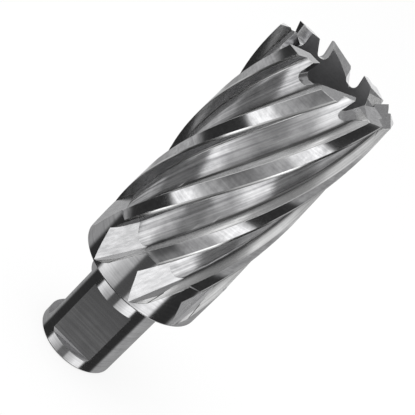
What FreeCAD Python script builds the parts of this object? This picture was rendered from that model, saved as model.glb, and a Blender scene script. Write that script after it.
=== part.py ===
import FreeCAD, Part
import math
import os
import Sketcher

# Annular cutter with a Weldon shank, one piece of high speed steel.
# Frame: millimetres, +Z along the axis towards the teeth, origin at the centre of the
# shank end face. The first Weldon flat faces -Y and the second faces -X.

doc = FreeCAD.newDocument("annular_cutter")

# Sizes, in millimetres and degrees
SIZES = [
    ("shank_diameter", 19.05),
    ("shank_length", 24.0),
    ("shank_chamfer", 0.6),
    ("body_diameter", 30.0),
    ("blank_length", 87.4),
    ("shoulder_chamfer", 0.4),
    ("bore_diameter", 20.2),
    ("bore_start", 9.5),
    ("bore_floor_chamfer", 1.0),
    ("pin_hole_diameter", 6.4),
    ("pin_hole_countersink", 0.5),
    ("flat_depth", 1.625),
    ("flat_bottom", 3.0),
    ("flat_length", 15.4),
    ("tooth_count", 8),
    ("lead", 180.0),
    ("flute_depth", 2.1),
    ("flute_clearance", 1.5),
    ("rake_edge_rise", 13.25),
    ("rake_root_rise", 13.1),
    ("heel_edge_drop", 2.45),
    ("flute_azimuth", -20.5),
    ("runout_start", 0.6),
    ("runout_turn", 15.65),
    ("runout_slope", 8.7),
    ("runout_lean", 27.9),
    ("runout_wall", 60.0),
    ("runout_offset", 0.95),
    ("runout_ahead", 20.0),
    ("runout_behind", 24.0),
    ("runout_width", 14.0),
    ("runout_rise", 8.0),
    ("margin_rise", 1.3),
    ("relief_depth", 0.22),
    ("relief_start", 11.5),
    ("gullet_depth", 5.4),
    ("gullet_lean", 13.0),
    ("gullet_back", 50.0),
    ("gullet_fillet", 1.1),
    ("gullet_tilt", 16.5),
    ("inner_tip_turn", 6.45),
    ("inner_tip_inset", 0.0),
    ("inner_tip_drop", 0.9),
    ("inner_tip_relief", 8.3),
    ("inner_tip_bevel", 5.7),
    ("inner_tip_gullet", 5.5),
    ("inner_tip_length", 6.3),
    ("middle_tip_turn", 9.39),
    ("middle_tip_inset", 1.8),
    ("middle_tip_drop", 0.47),
    ("middle_tip_relief", 16.0),
    ("middle_tip_bevel", 22.0),
    ("middle_tip_inner_bevel", 25.0),
    ("middle_tip_gullet", 5.3),
    ("middle_tip_length", 7.4),
    ("outer_tip_turn", 9.75),
    ("outer_tip_inset", 3.0),
    ("outer_tip_drop", 0.65),
    ("outer_tip_relief", 16.0),
    ("outer_tip_bevel", 25.0),
    ("outer_tip_inner_bevel", 27.0),
    ("outer_tip_gullet", 5.3),
    ("outer_tip_length", 7.4),
    ("outer_back_length", 11.0),
    ("tooth_ahead", 1.2),
    ("cut_rise", 2.6),
    ("cut_reach", 14.0),
    ("cut_overrun", 26.0),
    ("cut_margin", 1.0),
]

sheet = doc.addObject("Spreadsheet::Sheet", "sizes")
for row, (name, value) in enumerate(SIZES, start=1):
    sheet.set("A%d" % row, name)
    sheet.set("B%d" % row, str(value))
    sheet.setAlias("B%d" % row, name)
doc.recompute()


def value_of(expression):
    """Number an expression of the sizes gives now."""
    result = sheet.evalExpression(expression)
    return float(getattr(result, "Value", result))


def new_body(label):
    """Empty body of features."""
    body = doc.addObject("PartDesign::Body", label)
    body.Label = label
    return body


def origin_item(body, role):
    """Plane or axis of a body's origin, found by its role."""
    for item in body.Origin.OriginFeatures:
        if item.Role == role:
            return item
    raise ValueError(role)


def new_sketch(body, label, role):
    """Sketch flat on one of the body's origin planes."""
    sketch = body.newObject("Sketcher::SketchObject", label)
    sketch.AttachmentSupport = [(origin_item(body, role), "")]
    sketch.MapMode = "FlatFace"
    return sketch


def bind(feature, **expressions):
    """Tie properties of a feature to expressions of the sizes."""
    for prop, expression in expressions.items():
        feature.setExpression(prop, expression)


def hold(sketch, kind, expression, *where):
    """Dimension in a sketch tied to an expression."""
    number = sketch.addConstraint(Sketcher.Constraint(kind, *where, value_of(expression)))
    sketch.setExpression("Constraints[%d]" % number, expression)


def outline(sketch, corners):
    """Closed outline through corners, each sharp or rounded.

    Args:
        sketch: Sketch to draw in.
        corners: (x, y, radius) expressions, with radius None for a sharp corner.
    """
    count = len(corners)
    place = [FreeCAD.Vector(value_of(x), value_of(y), 0) for x, y, _ in corners]
    radii = [value_of(r) if r else 0.0 for _, _, r in corners]
    enter, leave, centre = [], [], []
    for i in range(count):
        if radii[i] == 0:
            enter.append(place[i])
            leave.append(place[i])
            centre.append(place[i])
            continue
        to_last = (place[i - 1] - place[i]).normalize()
        to_next = (place[(i + 1) % count] - place[i]).normalize()
        half = to_last.getAngle(to_next) / 2
        back = radii[i] / math.tan(half)
        enter.append(place[i] + to_last * back)
        leave.append(place[i] + to_next * back)
        middle = (to_last + to_next).normalize()
        centre.append(place[i] + middle * (radii[i] / math.sin(half)))
    sides = []
    for i in range(count):
        side = Part.LineSegment(leave[i], enter[(i + 1) % count])
        sides.append(sketch.addGeometry(side, False))
    for i, (x, y, radius) in enumerate(corners):
        last, after = sides[i - 1], sides[i]
        if radius is None:
            sketch.addConstraint(Sketcher.Constraint("Coincident", last, 2, after, 1))
            hold(sketch, "DistanceX", x, -1, 1, after, 1)
            hold(sketch, "DistanceY", y, -1, 1, after, 1)
            continue
        point = sketch.addGeometry(Part.Point(place[i]), True)
        hold(sketch, "DistanceX", x, -1, 1, point, 1)
        hold(sketch, "DistanceY", y, -1, 1, point, 1)
        sketch.addConstraint(Sketcher.Constraint("PointOnObject", point, 1, last))
        sketch.addConstraint(Sketcher.Constraint("PointOnObject", point, 1, after))
        first = math.atan2(enter[i].y - centre[i].y, enter[i].x - centre[i].x)
        final = math.atan2(leave[i].y - centre[i].y, leave[i].x - centre[i].x)
        turn = (final - first) % (2 * math.pi)
        onward = turn < math.pi
        low, high = (first, final) if onward else (final, first)
        circle = Part.Circle(centre[i], FreeCAD.Vector(0, 0, 1), radii[i])
        arc = sketch.addGeometry(Part.ArcOfCircle(circle, low, high), False)
        start, end = (1, 2) if onward else (2, 1)
        sketch.addConstraint(Sketcher.Constraint("Tangent", last, 2, arc, start))
        sketch.addConstraint(Sketcher.Constraint("Tangent", arc, end, after, 1))
        hold(sketch, "Radius", radius, arc)


def pad_to(body, label, sketch, side, length):
    """Pad reaching to one side of its sketch, outward or inward, or equally to both."""
    pad = body.newObject("PartDesign::Pad", label)
    pad.Profile = sketch
    pad.Midplane = side == "both"
    pad.Reversed = side == "inward"
    bind(pad, Length=length)
    sketch.Visibility = False
    return pad


def trim_below(body, label, height):
    """Pocket taking off all of a body that lies under a height."""
    sketch = new_sketch(body, label + "_section", "XZ_Plane")
    outline(sketch, [
        ("-sizes.body_diameter", height, None),
        ("sizes.body_diameter", height, None),
        ("sizes.body_diameter", "-sizes.blank_length", None),
        ("-sizes.body_diameter", "-sizes.blank_length", None),
    ])
    trim = body.newObject("PartDesign::Pocket", label)
    trim.Profile = sketch
    trim.Midplane = True
    bind(trim, Length="sizes.body_diameter * 2")
    sketch.Visibility = False
    doc.recompute()
    return trim


def sweep_up(body, label, sketch):
    """Additive sweep of a section along the flute helix, past the top of the blank."""
    sweep = body.newObject("PartDesign::AdditiveHelix", label)
    sweep.Profile = sketch
    sweep.ReferenceAxis = (sketch, ["V_Axis"])
    sweep.Mode = "pitch-height-angle"
    bind(sweep, Pitch="sizes.lead", Height="sizes.blank_length + sizes.cut_overrun")
    sketch.Visibility = False
    return sweep


def ring_of(body, label, axis_sketch, count):
    """Whole body so far, repeated evenly round the axis."""
    doc.recompute()
    ring = body.newObject("PartDesign::PolarPattern", label)
    ring.TransformMode = "Whole shape"
    ring.Axis = (axis_sketch, ["V_Axis"])
    ring.Angle = 360
    bind(ring, Occurrences=count)
    body.Tip = ring
    return ring


# Blank: shank, collar and cutting length turned in one, with the bore and the pin hole
blank = new_body("blank")
half_section = new_sketch(blank, "half_section", "XZ_Plane")
shank_radius = "sizes.shank_diameter / 2"
body_radius = "sizes.body_diameter / 2"
bore_radius = "sizes.bore_diameter / 2"
pin_radius = "sizes.pin_hole_diameter / 2"
bore_floor = "(sizes.shank_length + sizes.bore_start)"
flat_top = "(sizes.flat_bottom + sizes.flat_length)"
flat_distance = "(%s - sizes.flat_depth)" % shank_radius
outline(half_section, [
    (pin_radius + " + sizes.pin_hole_countersink", "0", None),
    (shank_radius + " - sizes.shank_chamfer", "0", None),
    (shank_radius, "sizes.shank_chamfer", None),
    (shank_radius, "sizes.flat_bottom", None),
    (shank_radius, flat_top, None),
    (shank_radius, "sizes.shank_length", None),
    (body_radius + " - sizes.shoulder_chamfer", "sizes.shank_length", None),
    (body_radius, "sizes.shank_length + sizes.shoulder_chamfer", None),
    (body_radius, "sizes.blank_length", None),
    (bore_radius, "sizes.blank_length", None),
    (bore_radius, bore_floor + " + sizes.bore_floor_chamfer", None),
    (bore_radius + " - sizes.bore_floor_chamfer", bore_floor, None),
    (pin_radius, bore_floor, None),
    (pin_radius, "sizes.pin_hole_countersink", None),
])
turning = blank.newObject("PartDesign::Revolution", "turning")
turning.Profile = half_section
turning.ReferenceAxis = (half_section, ["V_Axis"])
turning.Angle = 360
turning.Refine = False
half_section.Visibility = False

# Weldon flats, the first facing -Y and the second a quarter turn on, facing -X
flat_section = new_sketch(blank, "flat_section", "YZ_Plane")
outline(flat_section, [
    ("-" + flat_distance, "sizes.flat_bottom", None),
    ("-" + flat_distance, flat_top, None),
    ("-sizes.shank_diameter", flat_top, None),
    ("-sizes.shank_diameter", "sizes.flat_bottom", None),
])
first_flat = blank.newObject("PartDesign::Pocket", "first_flat")
first_flat.Profile = flat_section
first_flat.Midplane = True
bind(first_flat, Length="sizes.shank_diameter * 2")
first_flat.Refine = False
flat_section.Visibility = False
flats = blank.newObject("PartDesign::PolarPattern", "flats")
flats.Originals = [first_flat]
flats.Axis = (flat_section, ["V_Axis"])
flats.Reversed = True
flats.Mode = "Spacing"
flats.Offset = 90
flats.Occurrences = 2
flats.Refine = False
blank.Tip = flats

# Flute tool: the space one flute takes, swept along the helix and ended by the run-out
# plane and by the heel wall that rises with it, then repeated round the axis
flute = new_body("flute")
flute_section = new_sketch(flute, "flute_section", "XZ_Plane")
floor_radius = "(%s - sizes.flute_depth)" % body_radius
flute_reach = "(%s + sizes.flute_clearance)" % body_radius
runout_height = "(sizes.shank_length + sizes.runout_start)"
heel_root = (
    runout_height + " - sizes.runout_offset"
    " - (90 - sizes.runout_turn) * sizes.lead / 360"
)
outline(flute_section, [
    ("-" + floor_radius, heel_root, None),
    ("-" + floor_radius, heel_root + " + sizes.rake_root_rise", None),
    ("-" + body_radius, heel_root + " + sizes.rake_edge_rise", None),
    ("-" + flute_reach, heel_root + " + sizes.rake_edge_rise", None),
    ("-" + flute_reach, heel_root + " - sizes.heel_edge_drop", None),
    ("-" + body_radius, heel_root + " - sizes.heel_edge_drop", None),
])
sweep_up(flute, "flute_sweep", flute_section)
trim_below(flute, "flute_trim", "sizes.shank_length - sizes.cut_margin")

runout_section = new_sketch(flute, "runout_section", "XY_Plane")
runout_place = (
    "placement(vector(-sizes.body_diameter / 2 * sin(sizes.runout_turn * 1 deg);"
    " -sizes.body_diameter / 2 * cos(sizes.runout_turn * 1 deg);"
    " sizes.shank_length + sizes.runout_start);"
    " rotationx(180 deg - sizes.runout_slope * 1 deg) * rotationy(-sizes.runout_lean * 1 deg))"
    " * placement(vector(0; 0; -sizes.runout_ahead); rotationx(0 deg))"
)
runout_section.setExpression("AttachmentOffset", runout_place)
outline(runout_section, [
    ("-sizes.runout_width", "-sizes.runout_rise", None),
    ("-sizes.runout_width", "0", None),
    ("0", "0", None),
    ("sizes.runout_rise * tan(sizes.runout_wall * 1 deg)", "sizes.runout_rise", None),
    ("sizes.runout_width", "sizes.runout_rise", None),
    ("sizes.runout_width", "-sizes.runout_rise", None),
])
runout = flute.newObject("PartDesign::Pocket", "runout")
runout.Profile = runout_section
runout.Reversed = True
bind(runout, Length="sizes.runout_ahead + sizes.runout_behind")
runout_section.Visibility = False
ring_of(flute, "flute_ring", flute_section, "sizes.tooth_count")
flute.setExpression("Placement.Rotation.Angle", "sizes.flute_azimuth * 1 deg")

# Relief tool: the thin sliver ground off each land behind its cutting margin
relief = new_body("relief")
relief_section = new_sketch(relief, "relief_section", "XZ_Plane")
land_heel = heel_root + " - sizes.heel_edge_drop"
land_rake = heel_root + " + sizes.rake_edge_rise - 360 / sizes.tooth_count * sizes.lead / 360"
outline(relief_section, [
    ("-" + body_radius + " + sizes.relief_depth", land_heel, None),
    ("-" + body_radius, land_rake + " + sizes.margin_rise", None),
    ("-" + flute_reach, land_rake + " + sizes.margin_rise", None),
    ("-" + flute_reach, land_heel + " + sizes.cut_margin", None),
    ("-" + body_radius + " + sizes.relief_depth", land_heel + " + sizes.cut_margin", None),
])
sweep_up(relief, "relief_sweep", relief_section)
trim_below(relief, "relief_trim", "sizes.shank_length + sizes.relief_start")
ring_of(relief, "relief_ring", relief_section, "sizes.tooth_count")
relief.setExpression("Placement.Rotation.Angle", "sizes.flute_azimuth * 1 deg")


def tooth_cut(body, label, radius, level, tilt, side, corners):
    """Pad in front of the body's own tooth, its sketch tipped outward and down.

    Args:
        body: Tool body whose tooth faces -Y with its rake at the YZ plane.
        label: Name of the pad.
        radius: Expression of the radius at which the sketch heights hold.
        level: Expression of the height about which the sketch is tipped.
        tilt: Expression of the fall outward, in degrees.
        side: Side of that radius the pad reaches to: outward, inward or both.
        corners: (across, height, corner radius) expressions.
    """
    sketch = new_sketch(body, label + "_section", "XZ_Plane")
    sketch.setExpression(
        "AttachmentOffset",
        "placement(vector(0; %s; %s); rotationx((%s) * 1 deg))" % (level, radius, tilt),
    )
    drawn = []
    for across, height, corner in corners:
        up = "((%s) - %s) * cos((%s) * 1 deg)" % (height, level, tilt)
        drawn.append((across, up, corner))
    outline(sketch, drawn)
    return pad_to(body, label, sketch, side, "sizes.cut_reach")


def tooth_tool(label, tip, count, step, faces):
    """Tool that cuts the gullet before a kind of tooth and grinds its end faces.

    Args:
        label: Name of the tool body.
        tip: First part of the names of this tooth's sizes.
        count: Expression of how many such teeth there are.
        step: Teeth between this one and the tooth at the first flute.
        faces: (name, tilt, length, side) of each end face, the middle two expressions.
    """
    body = new_body(label)
    top = "(sizes.blank_length + sizes.cut_rise)"
    tip_height = "(sizes.blank_length - sizes.%s_drop)" % tip
    tip_radius = "(%s + sizes.%s_inset)" % (bore_radius, tip)
    lean = "tan(sizes.gullet_lean * 1 deg)"
    rise = "(%s - %s)" % (tip_height, gullet_floor)
    foot = "-%s * %s" % (rise, lean)
    back_foot = "sizes.%s_gullet - %s / tan(sizes.gullet_back * 1 deg)" % (tip, rise)
    back_rise = "(%s - %s)" % (top, gullet_floor)
    back_top = "%s + %s / tan(sizes.gullet_back * 1 deg)" % (back_foot, back_rise)
    tooth_cut(body, label + "_gullet", floor_radius, gullet_floor, "sizes.gullet_tilt", "both", [
        ("(%s - %s) * %s" % (top, tip_height, lean), top, None),
        (foot, gullet_floor, "sizes.gullet_fillet"),
        (back_foot, gullet_floor, "sizes.gullet_fillet"),
        (back_top, top, None),
    ])
    fall = "tan(sizes.%s_relief * 1 deg)" % tip
    for name, tilt, length, side in faces:
        tooth_cut(body, label + "_" + name, tip_radius, tip_height, tilt, side, [
            ("sizes.tooth_ahead", "%s + sizes.tooth_ahead * %s" % (tip_height, fall), None),
            ("-" + length, "%s - %s * %s" % (tip_height, length, fall), None),
            ("-" + length, top, None),
            ("sizes.tooth_ahead", top, None),
        ])
    axis_sketch = new_sketch(body, label + "_axis", "XZ_Plane")
    ring_of(body, label + "_ring", axis_sketch, count)
    flute_turn = "(%s - (%s + sizes.rake_edge_rise)) * 360 / sizes.lead" % (tip_height, heel_root)
    own_turn = "sizes.flute_azimuth + sizes.%s_turn + %d * 360 / sizes.tooth_count" % (tip, step)
    body.setExpression("Placement.Rotation.Angle", "(%s + %s) * 1 deg" % (own_turn, flute_turn))
    return body


gullet_floor = "(sizes.blank_length - sizes.gullet_depth)"
inner_teeth = tooth_tool(
    "inner_tooth_cuts", "inner_tip", "sizes.tooth_count / 2", 0,
    [("end", "sizes.inner_tip_bevel", "sizes.inner_tip_length", "both")],
)
middle_teeth, outer_teeth = [
    tooth_tool(
        "%s_tooth_cuts" % kind, "%s_tip" % kind, "sizes.tooth_count / 4", step,
        [
            ("outer_end", "sizes.%s_tip_bevel" % kind, "sizes.%s_tip_length" % kind, "both"),
            ("outer_back", "sizes.%s_tip_bevel" % kind, "sizes.outer_back_length", "outward"),
            ("inner_end", "-sizes.%s_tip_inner_bevel" % kind, "sizes.%s_tip_length" % kind, "both"),
        ],
    )
    for kind, step in (("middle", 1), ("outer", -1))
]

# Cutter: the blank less every cut
cutter = blank
for label, tool in (
    ("relieved", relief), ("fluted", flute),
    ("inner_teeth_cut", inner_teeth), ("middle_teeth_cut", middle_teeth),
    ("annular_cutter", outer_teeth),
):
    cut = doc.addObject("Part::Cut", label)
    cut.Label = label
    cut.Base = cutter
    cut.Tool = tool
    cut.Refine = False
    cutter = cut

doc.recompute()

# Every feature sound, one valid solid, then written out
for item in doc.Objects:
    if "Invalid" in item.State or "Error" in item.State:
        raise RuntimeError("%s: %s" % (item.Name, item.getStatusString()))
shape = cutter.Shape
if shape.isNull() or not shape.isValid() or len(shape.Solids) != 1:
    raise RuntimeError("the cutter is not one valid solid")
print(cutter.Label, "%.1f mm3" % shape.Volume, len(shape.Faces), "faces")
os.makedirs("parts", exist_ok=True)
shape.exportStep("parts/%s.step" % cutter.Label)
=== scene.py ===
import logging
import math
from dataclasses import dataclass, field
from enum import Enum

import bpy
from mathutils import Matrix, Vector


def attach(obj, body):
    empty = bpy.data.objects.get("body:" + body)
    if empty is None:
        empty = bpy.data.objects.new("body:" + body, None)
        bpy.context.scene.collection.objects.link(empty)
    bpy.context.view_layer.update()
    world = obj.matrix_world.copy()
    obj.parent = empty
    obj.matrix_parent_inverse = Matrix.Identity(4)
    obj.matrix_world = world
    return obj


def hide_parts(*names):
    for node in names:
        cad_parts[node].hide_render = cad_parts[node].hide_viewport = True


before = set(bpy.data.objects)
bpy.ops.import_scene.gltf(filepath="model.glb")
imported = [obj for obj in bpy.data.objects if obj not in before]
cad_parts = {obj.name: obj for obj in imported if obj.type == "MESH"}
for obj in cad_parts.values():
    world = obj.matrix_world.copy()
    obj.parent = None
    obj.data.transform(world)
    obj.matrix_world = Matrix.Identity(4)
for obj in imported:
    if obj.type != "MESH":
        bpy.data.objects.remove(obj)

log = logging.getLogger("annular_cutter")
MM = 0.001
HUNDREDTH = 0.01
MERGE_DISTANCE = 1e-7
FLUTES = 8
PITCH = 360 / FLUTES

# Turn in degrees that brings the phases onto the flutes.
FLUTE_SEAT = 89.0

# Level of the black flags that the steel mirrors.
FLAG = 0.035

# Tolerances in millimetres.
HEIGHT_TOLERANCE = 0.01
WALL_TOLERANCE = 0.02
RELIEF_TOLERANCE = 0.03
FLOOR_TOLERANCE = 0.05
BORE_TOLERANCE = 0.15
GRIND_REACH = 0.25

# Angles in degrees.
SHARP_ANGLE = 28
SMOOTH_ANGLE = 18

# Parts of a unit normal that point up or outwards.
FACES_UP = 0.5
LIES_LEVEL = 0.9
FACES_DOWN = -0.99
FACES_INWARD = -0.3
FACES_FACET = 0.8
FACES_ASIDE = 0.9
FACES_OUTWARD = 0.95

# Length below which a summed or stored normal counts as missing.
NO_NORMAL = 0.5


class Zone(Enum):
    """Region of the cutter that one grinding or turning step leaves behind."""

    TURNED = 0
    FLAT = 1
    LAND = 2
    MARGIN = 3
    FLOOR = 4
    RAKE_WALL = 5
    HEEL_WALL = 6
    FACET = 7
    RUNOUT_WALL = 8
    TOOTH = 9
    BORE = 10
    # Rounded edges, brighter partly as honed steel and partly as painted highlight.
    EDGE = 11
    # Rounded inner corners, coloured dark as painted shade.
    ROOT = 12
    LEDGE = 13


class Lay(Enum):
    """Direction in which the marks of a finish run."""

    ROUND = "round"
    HELIX = "helix"
    ACROSS = "across"


@dataclass(frozen=True)
class SteelFinish:
    """Surface that a tool leaves on the steel, and painted shade on some finishes.

    Widths, lengths and the clouds' size are in millimetres, and depths in
    hundredths of a millimetre. The cloud share says how much of the dulling
    comes in soft patches, the rest in streaks. The painted shade is given as
    phases across a flute in degrees and the factors that darken the colour
    there, as painted shade in the flute's corners and by the rake edge.
    """

    name: str
    lay: Lay
    bright: tuple[float, float, float] = (0.80, 0.80, 0.81)
    dull: tuple[float, float, float] = (0.55, 0.55, 0.56)
    roughness: float = 0.2
    metallic: float = 1.0
    grain_width: float = 0.5
    grain_length: float = 20.0
    grain_depth: float = 0.2
    fine_width: float = 0.12
    fine_depth: float = 0.01
    cloud_size: float = 3.0
    cloud_share: float = 0.3
    painted_shade: tuple[tuple[float, float], ...] = ()


def add_node(tree: bpy.types.NodeTree, kind: str, **values: object) -> bpy.types.Node:
    """Adds a node and sets its properties and unlinked inputs.

    Args:
        tree: Node tree to add to.
        kind: Blender's name of the node type.
        values: Property names, or input names with spaces as underscores.

    Returns:
        The new node.
    """
    node = tree.nodes.new(kind)
    for key, value in values.items():
        if hasattr(node, key):
            setattr(node, key, value)
        else:
            node.inputs[key.replace("_", " ")].default_value = value
    return node


def add_grey_ramp(
    tree: bpy.types.NodeTree, share: bpy.types.NodeSocket, stops: list[tuple[float, float]]
) -> bpy.types.Node:
    """Adds a ramp of grey levels.

    Args:
        tree: Node tree to add to.
        share: Output that gives the place along the ramp.
        stops: Places from 0 to 1 and their levels.

    Returns:
        The ramp.
    """
    ramp = add_node(tree, "ShaderNodeValToRGB")
    elements = ramp.color_ramp.elements
    while len(elements) > 1:
        elements.remove(elements[-1])
    for number, (place, level) in enumerate(stops):
        element = elements[0] if number == 0 else elements.new(place)
        element.position = place
        element.color = (level, level, level, 1)
    tree.links.new(share, ramp.inputs[0])
    return ramp


def radius_of(point: Vector) -> float:
    """Distance of a point from the cutter's axis."""
    return math.hypot(point.x, point.y)


def faces_by_edge(mesh: bpy.types.Mesh) -> dict[tuple[int, int], list[int]]:
    """Faces on each side of every edge.

    Args:
        mesh: The mesh.

    Returns:
        Face indices by the edge's vertex pair.
    """
    sides: dict[tuple[int, int], list[int]] = {}
    for face in mesh.polygons:
        for key in face.edge_keys:
            sides.setdefault(key, []).append(face.index)
    return sides


class ShaderKit:
    """Shader node groups that the finishes share."""

    coarse_seed: float = 1.7
    fine_seed: float = 5.3
    fine_length: float = 0.4
    gloss_span: tuple[float, float] = (0.8, 1.3)

    def __init__(self) -> None:
        """Builds every group once."""
        self.grain = self._grain_group()
        self.clouds = self._cloud_group()
        self.phases = self._phase_group()

    @staticmethod
    def _new_group(name: str, inputs: dict[str, float], outputs: list[str]) -> bpy.types.NodeTree:
        """Empty group with float inputs and outputs.

        Args:
            name: Name of the group.
            inputs: Input names and their defaults.
            outputs: Output names.

        Returns:
            The group's node tree.
        """
        tree = bpy.data.node_groups.new(name, "ShaderNodeTree")
        for key, value in inputs.items():
            socket = tree.interface.new_socket(key, in_out="INPUT", socket_type="NodeSocketFloat")
            socket.default_value = value
        for key in outputs:
            tree.interface.new_socket(key, in_out="OUTPUT", socket_type="NodeSocketFloat")
        return tree

    def _grain_group(self) -> bpy.types.NodeTree:
        """Streaks that run along a helix, and round or along the axis as its limits.

        Returns:
            A group with a height and a tone for the streaks.
        """
        tree = self._new_group(
            "tool_marks",
            {"Turn": 0.0, "Across": 1.0, "Along": 0.05, "Seed": 0.0},
            ["Height", "Tone"],
        )
        source = add_node(tree, "NodeGroupInput")
        sink = add_node(tree, "NodeGroupOutput")
        place = add_node(tree, "ShaderNodeTexCoord")
        split = add_node(tree, "ShaderNodeSeparateXYZ")
        tree.links.new(place.outputs["Object"], split.inputs[0])
        unwind = add_node(tree, "ShaderNodeMath", operation="MULTIPLY")
        tree.links.new(split.outputs["Z"], unwind.inputs[0])
        tree.links.new(source.outputs["Turn"], unwind.inputs[1])
        rotate = add_node(tree, "ShaderNodeVectorRotate", rotation_type="Z_AXIS")
        tree.links.new(place.outputs["Object"], rotate.inputs["Vector"])
        tree.links.new(unwind.outputs[0], rotate.inputs["Angle"])
        stretch = add_node(tree, "ShaderNodeCombineXYZ")
        tree.links.new(source.outputs["Across"], stretch.inputs["X"])
        tree.links.new(source.outputs["Across"], stretch.inputs["Y"])
        tree.links.new(source.outputs["Along"], stretch.inputs["Z"])
        scaled = add_node(tree, "ShaderNodeVectorMath", operation="MULTIPLY")
        tree.links.new(rotate.outputs[0], scaled.inputs[0])
        tree.links.new(stretch.outputs[0], scaled.inputs[1])
        noise = add_node(tree, "ShaderNodeTexNoise", noise_dimensions="4D", Detail=3.0, Roughness=0.6)
        noise.inputs["Scale"].default_value = 1.0
        tree.links.new(scaled.outputs[0], noise.inputs["Vector"])
        tree.links.new(source.outputs["Seed"], noise.inputs["W"])
        tone = add_node(tree, "ShaderNodeMapRange", From_Min=0.35, From_Max=0.65)
        tree.links.new(noise.outputs["Fac"], tone.inputs["Value"])
        tree.links.new(noise.outputs["Fac"], sink.inputs["Height"])
        tree.links.new(tone.outputs[0], sink.inputs["Tone"])
        return tree

    def _cloud_group(self) -> bpy.types.NodeTree:
        """Soft patches where a surface is duller.

        Returns:
            A group with one mask.
        """
        tree = self._new_group("dull_patches", {"Scale": 300.0, "Seed": 0.0}, ["Mask"])
        source = add_node(tree, "NodeGroupInput")
        sink = add_node(tree, "NodeGroupOutput")
        place = add_node(tree, "ShaderNodeTexCoord")
        noise = add_node(tree, "ShaderNodeTexNoise", noise_dimensions="4D", Detail=4.0, Roughness=0.55)
        tree.links.new(place.outputs["Object"], noise.inputs["Vector"])
        tree.links.new(source.outputs["Scale"], noise.inputs["Scale"])
        tree.links.new(source.outputs["Seed"], noise.inputs["W"])
        mask = add_node(tree, "ShaderNodeMapRange", From_Min=0.38, From_Max=0.66)
        tree.links.new(noise.outputs["Fac"], mask.inputs["Value"])
        tree.links.new(mask.outputs[0], sink.inputs["Mask"])
        return tree

    def _phase_group(self) -> bpy.types.NodeTree:
        """Angle round the axis, unwound by the flutes' helix.

        Returns:
            A group with the share of one flute's pitch.
        """
        tree = self._new_group("flute_phase", {"Turn": 1.0, "Climb": 0.0, "Start": 0.0}, ["Share"])
        source = add_node(tree, "NodeGroupInput")
        sink = add_node(tree, "NodeGroupOutput")
        place = add_node(tree, "ShaderNodeTexCoord")
        split = add_node(tree, "ShaderNodeSeparateXYZ")
        tree.links.new(place.outputs["Object"], split.inputs[0])
        angle = add_node(tree, "ShaderNodeMath", operation="ARCTAN2")
        tree.links.new(split.outputs["Y"], angle.inputs[0])
        tree.links.new(split.outputs["X"], angle.inputs[1])
        climb = add_node(tree, "ShaderNodeMath", operation="MULTIPLY_ADD")
        tree.links.new(split.outputs["Z"], climb.inputs[0])
        tree.links.new(source.outputs["Climb"], climb.inputs[1])
        tree.links.new(source.outputs["Start"], climb.inputs[2])
        total = add_node(tree, "ShaderNodeMath", operation="MULTIPLY_ADD")
        tree.links.new(angle.outputs[0], total.inputs[0])
        tree.links.new(source.outputs["Turn"], total.inputs[1])
        tree.links.new(climb.outputs[0], total.inputs[2])
        share = add_node(tree, "ShaderNodeMath", operation="FRACT")
        tree.links.new(total.outputs[0], share.inputs[0])
        tree.links.new(share.outputs[0], sink.inputs["Share"])
        return tree

    def _painted_shade_ramp(self, tree: bpy.types.NodeTree, finish: SteelFinish, lead: float) -> bpy.types.Node:
        """Painted shade of a finish across a flute.

        Args:
            tree: Material's node tree.
            finish: Finish with its painted shade, phases in degrees and factors.
            lead: Lead of the flutes in millimetres.

        Returns:
            The colour ramp of the factor.
        """
        start = finish.painted_shade[0][0]
        node = add_node(tree, "ShaderNodeGroup", node_tree=self.phases)
        node.inputs["Turn"].default_value = FLUTES / (2 * math.pi)
        node.inputs["Climb"].default_value = -FLUTES / (lead * MM)
        node.inputs["Start"].default_value = (FLUTE_SEAT - start) / PITCH
        stops = [((phase - start) / PITCH, level) for phase, level in finish.painted_shade]
        return add_grey_ramp(tree, node.outputs["Share"], stops)

    def _marks(
        self,
        tree: bpy.types.NodeTree,
        finish: SteelFinish,
        width: float,
        length: float,
        lead: float,
        seed: float,
    ) -> bpy.types.Node:
        """Places the grain group for a finish.

        Args:
            tree: Material's node tree.
            finish: Finish that says which way the marks run.
            width: Width of a mark in millimetres.
            length: Length of a mark in millimetres.
            lead: Lead of the flutes in millimetres.
            seed: Offset of the noise.

        Returns:
            The group node.
        """
        node = add_node(tree, "ShaderNodeGroup", node_tree=self.grain)
        across, along = 1 / (width * MM), 1 / (length * MM)
        if finish.lay is Lay.ROUND:
            across, along = along, across
        node.inputs["Turn"].default_value = -2 * math.pi / (lead * MM) if finish.lay is Lay.HELIX else 0.0
        node.inputs["Across"].default_value = across
        node.inputs["Along"].default_value = along
        node.inputs["Seed"].default_value = seed
        return node

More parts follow.
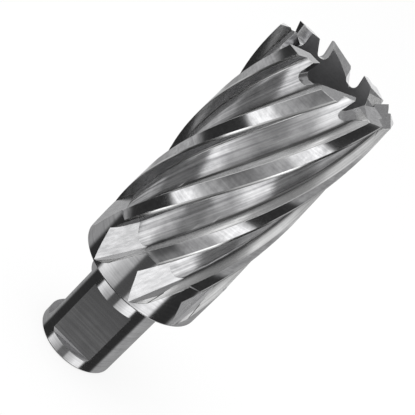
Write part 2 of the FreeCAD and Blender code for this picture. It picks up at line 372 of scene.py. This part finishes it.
    def material(self, finish: SteelFinish, lead: float) -> bpy.types.Material:
        """Steel with the marks, the dull patches, the painted shade and the gloss of a finish.

        Args:
            finish: The finish.
            lead: Lead of the flutes in millimetres.

        Returns:
            The material.
        """
        made = bpy.data.materials.new(finish.name)
        made.use_nodes = True
        tree = made.node_tree
        steel = tree.nodes["Principled BSDF"]
        steel.inputs["Metallic"].default_value = finish.metallic
        coarse = self._marks(tree, finish, finish.grain_width, finish.grain_length, lead, self.coarse_seed)
        fine = self._marks(
            tree, finish, finish.fine_width, finish.grain_length * self.fine_length, lead, self.fine_seed
        )
        patches = add_node(tree, "ShaderNodeGroup", node_tree=self.clouds)
        patches.inputs["Scale"].default_value = 1 / (finish.cloud_size * MM)
        shade = add_node(tree, "ShaderNodeMath", operation="MULTIPLY_ADD")
        tree.links.new(patches.outputs["Mask"], shade.inputs[0])
        shade.inputs[1].default_value = finish.cloud_share
        part = add_node(tree, "ShaderNodeMath", operation="MULTIPLY")
        tree.links.new(coarse.outputs["Tone"], part.inputs[0])
        part.inputs[1].default_value = 1 - finish.cloud_share
        tree.links.new(part.outputs[0], shade.inputs[2])
        colour = add_node(tree, "ShaderNodeMix", data_type="RGBA")
        colour.inputs["A"].default_value = (*finish.bright, 1)
        colour.inputs["B"].default_value = (*finish.dull, 1)
        tree.links.new(shade.outputs[0], colour.inputs["Factor"])
        painted = colour
        # Darkens the colour by the painted shade across a flute.
        if finish.painted_shade:
            painted = add_node(tree, "ShaderNodeMix", data_type="RGBA", blend_type="MULTIPLY")
            painted.inputs["Factor"].default_value = 1.0
            tree.links.new(colour.outputs["Result"], painted.inputs["A"])
            tree.links.new(self._painted_shade_ramp(tree, finish, lead).outputs["Color"], painted.inputs["B"])
        tree.links.new(painted.outputs["Result"], steel.inputs["Base Color"])
        low, high = (finish.roughness * share for share in self.gloss_span)
        gloss = add_node(tree, "ShaderNodeMapRange", To_Min=low, To_Max=high)
        tree.links.new(shade.outputs[0], gloss.inputs["Value"])
        tree.links.new(gloss.outputs[0], steel.inputs["Roughness"])
        bumped = add_node(tree, "ShaderNodeBump", Strength=1.0)
        bumped.inputs["Distance"].default_value = finish.grain_depth * HUNDREDTH * MM
        tree.links.new(coarse.outputs["Height"], bumped.inputs["Height"])
        scratched = add_node(tree, "ShaderNodeBump", Strength=1.0)
        scratched.inputs["Distance"].default_value = finish.fine_depth * HUNDREDTH * MM
        tree.links.new(fine.outputs["Height"], scratched.inputs["Height"])
        tree.links.new(bumped.outputs[0], scratched.inputs["Normal"])
        tree.links.new(scratched.outputs[0], steel.inputs["Normal"])
        return made


@dataclass(frozen=True)
class HelixBand:
    """Strip between two helices, given by its line in the cross-section.

    Each end is a phase in degrees and a radius in millimetres; hollow is how
    far the line sags in its middle, in millimetres. Phases up to the degrees
    of before count as ahead of the start, and the others as past it.
    """

    start: tuple[float, float]
    end: tuple[float, float]
    hollow: float = 0.0
    before: float = 20.0

    def share(self, phase: float, radius: float) -> float:
        """How far across the strip a point lies.

        Args:
            phase: The point's phase.
            radius: The point's radius.

        Returns:
            0 at the start and 1 at the end.
        """
        if abs(math.radians(self.end[0] - self.start[0])) * radius > abs(self.end[1] - self.start[1]):
            low, high = self.start[0], self.end[0]
            at = (phase - low + self.before) % PITCH + low - self.before
        else:
            low, high = self.start[1], self.end[1]
            at = radius
        return min(max((at - low) / (high - low), 0.0), 1.0)

    def radius(self, phase: float, radius: float) -> float:
        """Radius of the strip where a point lies.

        Args:
            phase: The point's phase.
            radius: The point's radius.

        Returns:
            The strip's radius.
        """
        share = self.share(phase, radius)
        return self.start[1] + (self.end[1] - self.start[1]) * share - self.hollow * 4 * share * (1 - share)

    def normal(self, point: Vector, phase: float, lead: float) -> Vector:
        """Normal of the strip at a point.

        Args:
            point: The point in millimetres.
            phase: Its phase.
            lead: Lead of the helix.

        Returns:
            The normal, out of the steel.
        """
        radius = radius_of(point)
        rise = self.end[1] - self.start[1] - self.hollow * 4 * (1 - 2 * self.share(phase, radius))
        run = math.radians(self.end[0] - self.start[0]) * radius
        outward = Vector((point.x, point.y, 0)) / radius
        aside = Vector((-outward.y, outward.x, 0))
        pitch = radius * 2 * math.pi / lead
        return (run * outward - rise * aside + rise * pitch * Vector((0, 0, 1))).normalized()


@dataclass
class AnnularCutter:
    """The whole cutter, one machined piece.

    Sizes are in millimetres, phases in degrees. The edge and tooth shares are
    parts of the roots' rounding. A play is how far beside a place still counts
    as being there.
    """

    node: str = "annular_cutter"
    slot: str = "steel"
    shank_radius: float = 9.525
    shank_length: float = 24.0
    shank_play: float = 1.0
    flat_distance: float = 7.9
    ledge_height: float = 3.0
    ledge_rise: float = 0.7
    body_radius: float = 15.0
    bore_radius: float = 10.1
    bore_floor: float = 33.5
    bore_floor_play: float = 3.0
    floor_radius: float = 12.9
    relief_depth: float = 0.22
    relief_start: float = 35.5
    lead: float = 180.0
    margin_phase: float = 21.1
    rake_phase: tuple[float, float] = (23.9, 25.0)
    rake_play: tuple[float, float] = (1.0, 2.0)
    heel_phase: tuple[float, float] = (5.2, 11.6)
    runout_top: float = 46.0
    gullet_bottom: float = 79.0
    edge_round: float = 0.30
    edge_segments: int = 3
    edge_share: float = 0.3
    tooth_share: float = 0.6
    root_height: tuple[float, float] = (-0.4, 0.8)
    root_play: float = 2.5
    runout_span: tuple[float, float] = (35.4, 46.8)
    finishes: dict[Zone, SteelFinish] = field(default_factory=dict)
    bands: dict[Zone, HelixBand] = field(default_factory=dict)

    def build(self) -> bpy.types.Object:
        """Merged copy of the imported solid, its sharp edges kept.

        Returns:
            The piece.
        """
        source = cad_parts[self.node]
        piece = source.copy()
        piece.data = source.data.copy()
        piece.name = self.node + "_ground"
        for key in list(piece.keys()):
            del piece[key]
        piece.parent = None
        bpy.context.scene.collection.objects.link(piece)
        bpy.ops.object.select_all(action="DESELECT")
        piece.select_set(True)
        bpy.context.view_layer.objects.active = piece
        bpy.ops.object.mode_set(mode="EDIT")
        bpy.ops.mesh.select_all(action="SELECT")
        bpy.ops.mesh.remove_doubles(threshold=MERGE_DISTANCE, use_sharp_edge_from_normals=True)
        bpy.ops.mesh.select_all(action="DESELECT")
        bpy.ops.object.mode_set(mode="OBJECT")
        return piece

    def phase(self, point: Vector) -> float:
        """Angle of a point round the axis, unwound by the helix.

        Args:
            point: Point in millimetres.

        Returns:
            The angle within one flute's pitch, in degrees.
        """
        turn = math.degrees(math.atan2(point.y, point.x)) + FLUTE_SEAT
        return (turn - point.z * 360 / self.lead) % PITCH

    def zone_of(self, corners: list[Vector], normal: Vector) -> Zone:
        """Region a face belongs to.

        Args:
            corners: The face's corners in millimetres.
            normal: The face's normal.

        Returns:
            The zone.
        """
        centre = sum(corners, Vector()) / len(corners)
        radii = [radius_of(corner) for corner in corners]
        heights = [corner.z for corner in corners]
        outward = (normal.x * centre.x + normal.y * centre.y) / max(radius_of(centre), HEIGHT_TOLERANCE)
        if max(radii) < self.bore_radius + BORE_TOLERANCE:
            if outward < FACES_INWARD and centre.z >= HEIGHT_TOLERANCE:
                return Zone.BORE
            if normal.z > FACES_UP and centre.z < self.bore_floor + self.bore_floor_play:
                return Zone.BORE
        if normal.z > LIES_LEVEL and abs(centre.z - self.ledge_height) < HEIGHT_TOLERANCE:
            return Zone.LEDGE
        if max(heights) < self.shank_length + HEIGHT_TOLERANCE or normal.z < FACES_DOWN:
            return Zone.FLAT if self.on_flat(centre, normal) else Zone.TURNED
        if outward > FACES_OUTWARD:
            if min(radii) > self.body_radius - self.relief_depth - RELIEF_TOLERANCE:
                return self.land_zone(corners)
            if all(abs(radius - self.floor_radius) < FLOOR_TOLERANCE for radius in radii):
                return Zone.FLOOR
        phases = [self.phase(corner) for corner in corners]
        if all(self.rake_phase[0] < phase < self.rake_phase[1] for phase in phases):
            return Zone.RAKE_WALL
        in_heel = all(self.heel_phase[0] < phase < self.heel_phase[1] for phase in phases)
        if in_heel and abs(outward) < FACES_ASIDE:
            return Zone.HEEL_WALL
        if centre.z > self.gullet_bottom:
            return Zone.TOOTH
        if centre.z < self.runout_top:
            return Zone.FACET if outward > FACES_FACET else Zone.RUNOUT_WALL
        return Zone.TURNED

    def on_flat(self, centre: Vector, normal: Vector) -> bool:
        """Whether a face of the shank lies on one of its flats.

        Args:
            centre: The face's centre in millimetres.
            normal: The face's normal.

        Returns:
            True on a flat.
        """
        turned = min(max(abs(normal.x + 1), abs(normal.y)), max(abs(normal.y + 1), abs(normal.x)))
        distance = max(abs(centre.x * normal.x), abs(centre.y * normal.y))
        return turned < WALL_TOLERANCE and abs(distance - self.flat_distance) < FLOOR_TOLERANCE

    def land_zone(self, corners: list[Vector]) -> Zone:
        """Region of a face on the cutter's outer wall.

        Args:
            corners: The face's corners in millimetres.

        Returns:
            The zone.
        """
        if max(corner.z for corner in corners) < self.relief_start + HEIGHT_TOLERANCE:
            return Zone.TURNED
        if not all(abs(radius_of(corner) - self.body_radius) < WALL_TOLERANCE for corner in corners):
            return Zone.LAND
        phases = [self.phase(corner) for corner in corners]
        in_margin = min(phases) > self.margin_phase and max(phases) < self.rake_phase[1]
        return Zone.MARGIN if in_margin else Zone.TURNED

    def dress(self, piece: bpy.types.Object, kit: ShaderKit) -> dict[str, int]:
        """Gives each region its finish.

        Args:
            piece: The piece to dress.
            kit: The shared node groups.

        Returns:
            How many faces each zone has.
        """
        mesh = piece.data
        mesh.materials.clear()
        for zone in Zone:
            mesh.materials.append(kit.material(self.finishes[zone], self.lead))
        counts: dict[str, int] = {}
        for face in mesh.polygons:
            corners = [mesh.vertices[i].co / MM for i in face.vertices]
            zone = self.zone_of(corners, face.normal)
            face.material_index = zone.value
            counts[zone.name] = counts.get(zone.name, 0) + 1
        return counts

    def hollow_out(self, piece: bpy.types.Object) -> None:
        """Grinds the lands flat and the flutes' floors hollow across their width.

        Args:
            piece: The piece, already dressed.
        """
        mesh = piece.data
        kept = mesh.attributes.new("cad_normal", "FLOAT_VECTOR", "CORNER")
        for corner, loop in zip(kept.data, mesh.corner_normals):
            corner.vector = loop.vector
        for zone in (Zone.HEEL_WALL, Zone.FLOOR, Zone.LAND):
            band = self.bands[zone]
            faces = [face for face in mesh.polygons if face.material_index == zone.value]
            for index in {i for face in faces for i in face.vertices}:
                place = mesh.vertices[index].co
                radius = radius_of(place)
                wanted = band.radius(self.phase(place / MM), radius / MM) * MM
                if wanted < radius < wanted + GRIND_REACH * MM:
                    place.x *= wanted / radius
                    place.y *= wanted / radius
        for vertex in mesh.vertices:
            point = vertex.co / MM
            inner = min(abs(point.x + self.flat_distance), abs(point.y + self.flat_distance)) < WALL_TOLERANCE
            if inner and abs(point.z - self.ledge_height) < HEIGHT_TOLERANCE:
                vertex.co.z += self.ledge_rise * MM

    def ground_normal(self, face: bpy.types.MeshPolygon, point: Vector, kept: Vector) -> Vector:
        """Normal that a face's tool left at one of its corners.

        Args:
            face: The face.
            point: The corner in millimetres.
            kept: The CAD's normal at the corner.

        Returns:
            The normal.
        """
        zone = Zone(face.material_index)
        if zone in self.bands:
            return self.bands[zone].normal(point, self.phase(point), self.lead)
        if zone in (Zone.TURNED, Zone.BORE):
            outward = Vector((point.x, point.y, 0)).normalized()
            side = math.copysign(math.sqrt(max(1 - face.normal.z ** 2, 0)), face.normal.dot(outward))
            return (outward * side + Vector((0, 0, face.normal.z))).normalized()
        if kept.length < NO_NORMAL or zone is Zone.LEDGE:
            return face.normal.copy()
        if kept.angle(face.normal) > math.radians(SMOOTH_ANGLE):
            return face.normal.copy()
        return kept.normalized()

    def break_edges(self, piece: bpy.types.Object) -> None:
        """Rounds the sharp edges and the roots a little, as stoning leaves them.

        Args:
            piece: The piece, already dressed.
        """
        mesh = piece.data
        sides = faces_by_edge(mesh)
        weights = mesh.attributes.new("bevel_weight_edge", "FLOAT", "EDGE")
        for edge in mesh.edges:
            one, other = (mesh.polygons[i] for i in sides[edge.key])
            heights = [mesh.vertices[i].co.z / MM for i in edge.vertices]
            radii = [radius_of(mesh.vertices[i].co) / MM for i in edge.vertices]
            inside_runout = max(heights) > self.runout_span[0] and min(heights) < self.runout_span[1]
            low, high = self.ledge_height - self.shank_play, self.shank_length - self.shank_play
            beside_flat = low < min(heights) < high
            if one.normal.angle(other.normal) < math.radians(SHARP_ANGLE) or inside_runout or beside_flat:
                continue
            zones = {Zone(one.material_index), Zone(other.material_index)}
            at_shoulder = abs(min(heights) - self.shank_length) < HEIGHT_TOLERANCE
            shoulder = at_shoulder and max(radii) < self.shank_radius + self.shank_play
            root = zones in ({Zone.FLOOR, Zone.HEEL_WALL}, {Zone.FLOOR, Zone.RAKE_WALL}) or shoulder
            share = self.tooth_share if min(heights) > self.gullet_bottom else 1.0
            weights.data[edge.index].value = 1.0 if root else self.edge_share * share
        bevel = piece.modifiers.new("stoned_edges", "BEVEL")
        bevel.width = self.edge_round * MM
        bevel.segments = self.edge_segments
        bevel.limit_method = "WEIGHT"
        bevel.use_clamp_overlap = False
        # The rounded faces take the edge material, brighter partly as painted highlight.
        bevel.material = Zone.EDGE.value
        bpy.context.view_layer.objects.active = piece
        bpy.ops.object.modifier_apply(modifier=bevel.name)

    def is_shaded_root(self, face: bpy.types.MeshPolygon, others: list[Vector]) -> bool:
        """Whether a rounded edge's face lies in an inner corner, which is coloured dark as painted shade.

        Args:
            face: The face.
            others: Centres of the faces beside it.

        Returns:
            True in a flute's heel root or another inner corner, but not at the rake.
        """
        middle = face.center / MM
        phase = self.phase(middle)
        height = radius_of(middle) - self.floor_radius
        if middle.z > self.runout_top and self.root_height[0] < height < self.root_height[1]:
            return abs(phase - self.heel_phase[0]) < self.root_play
        lean = sum((other - face.center).dot(face.normal) for other in others)
        low, high = self.rake_phase[0] - self.rake_play[0], self.rake_phase[1] + self.rake_play[1]
        return lean > 0 and not low < phase < high

    def shade(self, piece: bpy.types.Object) -> None:
        """Gives each corner the normal of the surface that it lies on.

        Args:
            piece: The piece, its edges broken.
        """
        mesh = piece.data
        kept = mesh.attributes["cad_normal"].data
        sides = faces_by_edge(mesh)
        normals = [Vector((0, 0, 1))] * len(mesh.loops)
        beside = [Vector() for _ in mesh.vertices]
        across = [Vector() for _ in mesh.vertices]
        rounded = [face for face in mesh.polygons if face.material_index == Zone.EDGE.value]
        for face in mesh.polygons:
            if face.material_index == Zone.EDGE.value:
                for index in face.vertices:
                    across[index] += face.normal * face.area
                continue
            for corner in face.loop_indices:
                index = mesh.loops[corner].vertex_index
                point, stored = mesh.vertices[index].co / MM, Vector(kept[corner].vector)
                normals[corner] = self.ground_normal(face, point, stored)
                beside[index] += normals[corner]
        for face in rounded:
            others = [mesh.polygons[i].center for key in face.edge_keys for i in sides[key]]
            # Faces in inner corners take the dark material as painted shade.
            if self.is_shaded_root(face, others):
                face.material_index = Zone.ROOT.value
            for corner in face.loop_indices:
                index = mesh.loops[corner].vertex_index
                wall = beside[index] if beside[index].length > NO_NORMAL else across[index]
                normals[corner] = wall.normalized()
        mesh.shade_smooth()
        mesh.normals_split_custom_set(normals)
        mesh.attributes.remove(mesh.attributes["cad_normal"])

    def place(self, piece: bpy.types.Object) -> None:
        """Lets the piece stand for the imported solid."""
        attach(piece, "root")
        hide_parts(self.node)


@dataclass(frozen=True)
class PanelRing:
    """Ring of panels and flags at one height round the object.

    The rise is the span of the ray's upward part over which the ring takes over
    from the one below. A panel's edge is an angle from the front to the right
    in degrees and a level.
    """

    rise: tuple[float, float]
    panels: tuple[tuple[float, float], ...]


@dataclass
class Studio:
    """Pale floor, soft light, and the panels and flags that bright steel mirrors."""

    floor_half: float = 3.0
    floor_tone: float = 0.9
    floor_glow: float = 0.85
    rings: tuple[PanelRing, ...] = ()
    fill: float = 1.0
    lamp_place: tuple[float, float, float] = (-0.15, -0.1, 0.6)
    lamp_turn: tuple[float, float, float] = (-9, -14, 0)
    lamp_size: float = 0.4
    lamp_power: float = 1.2

    def build_floor(self) -> bpy.types.Object:
        """Floor that reads as white and keeps a soft shadow.

        Returns:
            The floor.
        """
        bpy.ops.object.select_all(action="DESELECT")
        bpy.ops.mesh.primitive_plane_add(size=2 * self.floor_half, location=(0, 0, 0))
        floor = bpy.context.active_object
        floor.name = "studio_floor"
        made = bpy.data.materials.new("floor_paper")
        made.use_nodes = True
        tree = made.node_tree
        paper = tree.nodes["Principled BSDF"]
        paper.inputs["Base Color"].default_value = (self.floor_tone,) * 3 + (1,)
        paper.inputs["Roughness"].default_value = 0.9
        white = add_node(tree, "ShaderNodeEmission")
        rays = add_node(tree, "ShaderNodeLightPath")
        seen = add_node(tree, "ShaderNodeMath", operation="MULTIPLY")
        tree.links.new(rays.outputs["Is Camera Ray"], seen.inputs[0])
        seen.inputs[1].default_value = self.floor_glow
        blend = add_node(tree, "ShaderNodeMixShader")
        tree.links.new(seen.outputs[0], blend.inputs[0])
        tree.links.new(paper.outputs[0], blend.inputs[1])
        tree.links.new(white.outputs[0], blend.inputs[2])
        tree.links.new(blend.outputs[0], tree.nodes["Material Output"].inputs["Surface"])
        floor.data.materials.append(made)
        floor.visible_glossy = False
        return floor

    def build_world(self) -> bpy.types.World:
        """World that is white to the camera and a stack of panel rings to the steel.

        Returns:
            The world.
        """
        world = bpy.data.worlds.new("studio")
        bpy.context.scene.world = world
        world.use_nodes = True
        tree = world.node_tree
        tree.nodes.clear()
        place = add_node(tree, "ShaderNodeTexCoord")
        split = add_node(tree, "ShaderNodeSeparateXYZ")
        tree.links.new(place.outputs["Generated"], split.inputs[0])
        front = add_node(tree, "ShaderNodeMath", operation="MULTIPLY")
        tree.links.new(split.outputs["Y"], front.inputs[0])
        front.inputs[1].default_value = -1
        turn = add_node(tree, "ShaderNodeMath", operation="ARCTAN2")
        tree.links.new(split.outputs["X"], turn.inputs[0])
        tree.links.new(front.outputs[0], turn.inputs[1])
        share = add_node(tree, "ShaderNodeMapRange", From_Min=-math.pi, From_Max=math.pi)
        tree.links.new(turn.outputs[0], share.inputs["Value"])
        mirrored = None
        for ring in self.rings:
            stops = [((angle + 180) / 360, level) for angle, level in ring.panels]
            ramp = add_grey_ramp(tree, share.outputs[0], stops)
            if mirrored is None:
                mirrored = ramp.outputs["Color"]
                continue
            rise = add_node(tree, "ShaderNodeMapRange", From_Min=ring.rise[0], From_Max=ring.rise[1])
            tree.links.new(split.outputs["Z"], rise.inputs["Value"])
            blend = add_node(tree, "ShaderNodeMix", data_type="RGBA")
            tree.links.new(rise.outputs[0], blend.inputs["Factor"])
            tree.links.new(mirrored, blend.inputs["A"])
            tree.links.new(ramp.outputs["Color"], blend.inputs["B"])
            mirrored = blend.outputs["Result"]
        rays = add_node(tree, "ShaderNodeLightPath")
        soft = add_node(tree, "ShaderNodeMix", data_type="RGBA")
        tree.links.new(rays.outputs["Is Glossy Ray"], soft.inputs["Factor"])
        soft.inputs["A"].default_value = (self.fill,) * 3 + (1,)
        tree.links.new(mirrored, soft.inputs["B"])
        seen = add_node(tree, "ShaderNodeMix", data_type="RGBA")
        tree.links.new(rays.outputs["Is Camera Ray"], seen.inputs["Factor"])
        tree.links.new(soft.outputs["Result"], seen.inputs["A"])
        seen.inputs["B"].default_value = (1, 1, 1, 1)
        glow = add_node(tree, "ShaderNodeBackground")
        tree.links.new(seen.outputs["Result"], glow.inputs["Color"])
        sink = add_node(tree, "ShaderNodeOutputWorld")
        tree.links.new(glow.outputs[0], sink.inputs["Surface"])
        return world

    def build_lamp(self) -> bpy.types.Object:
        """Soft box overhead that gives the floor its shadow.

        Returns:
            The lamp.
        """
        bpy.ops.object.select_all(action="DESELECT")
        bpy.ops.object.light_add(type="AREA", location=self.lamp_place)
        lamp = bpy.context.active_object
        lamp.name = "soft_box"
        lamp.data.shape = "DISK"
        lamp.data.size = self.lamp_size
        lamp.data.energy = self.lamp_power
        lamp.rotation_euler = [math.radians(angle) for angle in self.lamp_turn]
        lamp.visible_glossy = False
        return lamp


@dataclass
class PhotoCamera:
    """Camera at the photograph's viewing angle. Place in millimetres, angles in degrees."""

    place: tuple[float, float, float] = (3.8399, -215.1160, 136.5358)
    turn: tuple[float, float, float] = (59.29015, -40.34311, 22.03309)
    lens: float = 97.08

    def build(self) -> bpy.types.Object:
        """Adds the camera and makes it the scene's.

        Returns:
            The camera.
        """
        data = bpy.data.cameras.new("photo_camera")
        data.sensor_width = 36.0
        data.lens = self.lens
        data.clip_start = 0.01
        camera = bpy.data.objects.new("photo_camera", data)
        camera.location = Vector(self.place) * MM
        camera.rotation_euler = [math.radians(angle) for angle in self.turn]
        bpy.context.scene.collection.objects.link(camera)
        bpy.context.scene.camera = camera
        return camera


FINISHES = {
    Zone.TURNED: SteelFinish("turned_steel", Lay.ROUND, roughness=0.11, grain_depth=0.05, cloud_share=0.4),
    Zone.FLAT: SteelFinish(
        "milled_flat", Lay.ROUND, bright=(0.72, 0.72, 0.73), dull=(0.50, 0.50, 0.51), roughness=0.13,
        grain_width=0.6, grain_depth=0.1,
    ),
    Zone.LAND: SteelFinish(
        "relieved_land", Lay.ROUND, bright=(0.84, 0.84, 0.85), dull=(0.50, 0.50, 0.51), roughness=0.12,
        grain_depth=0.08, cloud_size=1.6, cloud_share=0.6,
    ),
    # The margin is darker towards the rake edge as painted shade.
    Zone.MARGIN: SteelFinish(
        "ground_margin", Lay.ROUND, bright=(1.0, 1.0, 1.0), dull=(0.9, 0.9, 0.9), roughness=0.2,
        grain_depth=0.05,
        painted_shade=((20.5, 1.0), (22.6, 1.0), (23.1, 0.4), (24.6, 0.4)),
    ),
    # The floor is darker at both roots as painted shade.
    Zone.FLOOR: SteelFinish(
        "flute_floor", Lay.HELIX, bright=(0.96, 0.96, 0.97), dull=(0.28, 0.28, 0.29), roughness=0.15,
        metallic=0.80, grain_width=0.6, grain_length=30, grain_depth=2.0,
        painted_shade=((23.0, 0.5), (27.0, 0.95), (42.0, 0.85), (48.3, 0.55), (49.3, 0.28), (51.0, 0.22)),
    ),
    # Darker colour on the rake walls is painted shade.
    Zone.RAKE_WALL: SteelFinish(
        "rake_wall_painted_shade", Lay.HELIX, bright=(0.68, 0.68, 0.69), dull=(0.44, 0.44, 0.44), roughness=0.22,
        grain_depth=0.2,
    ),
    # The heel wall is darker at its root as painted shade.
    Zone.HEEL_WALL: SteelFinish(
        "heel_wall", Lay.HELIX, bright=(1.0, 1.0, 1.0), dull=(0.62, 0.62, 0.62), roughness=0.19,
        metallic=0.85, grain_width=0.35, grain_length=25, grain_depth=0.8,
        painted_shade=((49.0, 0.2), (50.8, 0.24), (51.6, 0.7), (52.5, 1.0), (56.0, 1.0)),
    ),
    Zone.FACET: SteelFinish(
        "runout_facet", Lay.HELIX, bright=(0.82, 0.82, 0.83), dull=(0.68, 0.68, 0.69), roughness=0.26,
        grain_width=0.7, grain_length=35, grain_depth=0.3,
    ),
    Zone.RUNOUT_WALL: SteelFinish("runout_wall", Lay.HELIX, roughness=0.26, grain_depth=0.5),
    Zone.TOOTH: SteelFinish(
        "ground_tooth", Lay.ACROSS, bright=(0.72, 0.72, 0.73), dull=(0.50, 0.50, 0.51), roughness=0.22,
    ),
    # Darker colour in the bore is partly duller unpolished steel, partly painted shade in the hollow.
    Zone.BORE: SteelFinish(
        "bored_wall_dull_and_painted_shade", Lay.ROUND, bright=(0.50, 0.50, 0.51), dull=(0.40, 0.40, 0.41), roughness=0.45,
    ),
    # Brighter colour on the rounded edges is partly honed steel, partly painted highlight; they are darker at
    # the rake corner as painted shade.
    Zone.EDGE: SteelFinish(
        "honed_edge_and_painted_highlight", Lay.HELIX, bright=(0.95, 0.95, 0.95), dull=(0.75, 0.75, 0.75), roughness=0.2,
        painted_shade=((12.0, 1.0), (22.8, 1.0), (23.4, 0.45), (24.1, 0.45), (24.4, 1.0), (56.0, 1.0)),
    ),
    Zone.LEDGE: SteelFinish(
        "milled_ledge", Lay.ROUND, bright=(0.92, 0.92, 0.92), dull=(0.8, 0.8, 0.8), roughness=0.2,
    ),
    # Dark colour in the rounded inner corners is painted shade.
    Zone.ROOT: SteelFinish(
        "flute_root_painted_shade", Lay.HELIX, bright=(0.24, 0.24, 0.24), dull=(0.12, 0.12, 0.12), roughness=0.3,
    ),
}


def low_ring(rise: tuple[float, float], centre: float) -> PanelRing:
    """Ring that the collar and the shank mirror.

    Args:
        rise: Span over which the ring takes over.
        centre: Level of the flag in front.

    Returns:
        The ring.
    """
    return PanelRing(rise, (
        (-180, 0.30), (-107, 0.35), (-99, FLAG), (-60, FLAG), (-55, 1.05), (-42, 0.85), (-28, 0.60),
        (-17, 0.48), (-13, centre), (7, centre), (10, 0.55), (28, 0.85), (40, 1.2), (57, 1.2),
        (63, FLAG), (96, FLAG), (104, 0.40), (180, 0.30),
    ))


def middle_ring(rise: tuple[float, float], side: float, centre: float) -> PanelRing:
    """Ring that the lands and the flutes mirror.

    Args:
        rise: Span over which the ring takes over.
        side: Level beside the flag in front.
        centre: Level of the flag in front.

    Returns:
        The ring.
    """
    return PanelRing(rise, (
        (-180, 0.90), (-162, 0.55), (-150, 0.32), (-125, 0.48), (-107, 0.48), (-98, FLAG), (-61, FLAG),
        (-57, 1.3), (-42, 1.2), (-36, 0.55), (-22, side), (-11, centre), (4, centre), (13, side),
        (30, 0.47), (40, 1.2), (58, 1.3), (62, FLAG), (94, FLAG), (99, 0.38), (145, 0.34), (160, 0.55),
        (180, 0.90),
    ))


RINGS = (
    PanelRing((-1.0, -0.9), (
        (-180, 0.40), (-150, 0.10), (-110, FLAG), (75, FLAG), (110, 0.30), (135, 0.55), (165, 0.60),
        (180, 0.40),
    )),
    low_ring((-0.68, -0.60), centre=0.19),
    low_ring((-0.518, -0.500), centre=0.075),
    middle_ring((-0.445, -0.415), side=0.34, centre=0.11),
    middle_ring((-0.37, -0.30), side=0.42, centre=0.25),
    PanelRing((-0.10, -0.02), (
        (-180, 1.2), (-160, 1.0), (-145, 0.40), (-60, 0.60), (-30, 0.40), (0, 0.40), (75, 0.55), (120, 0.40),
        (145, 0.9), (180, 1.2),
    )),
    PanelRing((0.14, 0.24), (
        (-180, 0.72), (-150, 0.36), (-95, 0.30), (-80, 1.2), (-64, 1.2), (-55, 0.30), (-28, 0.06), (-8, 0.10),
        (3, 0.30), (12, 0.75), (45, 0.70), (55, 0.40), (100, 0.34), (115, 0.08), (130, 0.08), (145, 0.36),
        (180, 0.72),
    )),
    PanelRing((0.44, 0.62), (
        (-180, 0.40), (-110, 0.26), (-78, 1.0), (-30, 0.9), (-10, 0.40), (20, 0.45), (60, 0.30), (105, 0.30),
        (118, 0.08), (132, 0.08), (145, 0.36), (180, 0.40),
    )),
    PanelRing((0.72, 0.82), (
        (-180, 0.33), (-120, 0.28), (-90, 0.6), (0, 0.9), (60, 0.5), (120, 0.28), (180, 0.33),
    )),
    PanelRing((0.88, 0.91), ((-180, 0.31), (180, 0.31))),
    PanelRing((0.94, 0.955), ((-180, 1.25), (180, 1.25))),
)

BANDS = {
    Zone.LAND: HelixBand((9.94, 14.71), (21.45, 15.0), hollow=0.075),
    Zone.MARGIN: HelixBand((21.45, 15.0), (24.05, 15.0)),
    Zone.RAKE_WALL: HelixBand((24.05, 15.0), (24.35, 12.9)),
    Zone.FLOOR: HelixBand((24.35, 12.9), (50.55, 12.9), hollow=0.19),
    Zone.HEEL_WALL: HelixBand((5.55, 12.9), (9.94, 14.71)),
}


def main() -> None:
    """Builds the cutter and the studio, and reports each."""
    logging.basicConfig(level=logging.INFO, format="%(name)s: %(message)s")
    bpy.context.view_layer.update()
    bpy.context.scene.view_settings.view_transform = "Standard"
    kit = ShaderKit()
    cutter = AnnularCutter(finishes=FINISHES, bands=BANDS)
    piece = cutter.build()
    counts = cutter.dress(piece, kit)
    cutter.hollow_out(piece)
    cutter.break_edges(piece)
    cutter.shade(piece)
    cutter.place(piece)
    log.info("%s: %d faces, %s", piece.name, len(piece.data.polygons), counts)
    studio = Studio(rings=RINGS)
    for part in (studio.build_floor(), studio.build_world(), studio.build_lamp(), PhotoCamera().build()):
        log.info("%s", part.name)


if __name__ == "__main__":
    main()
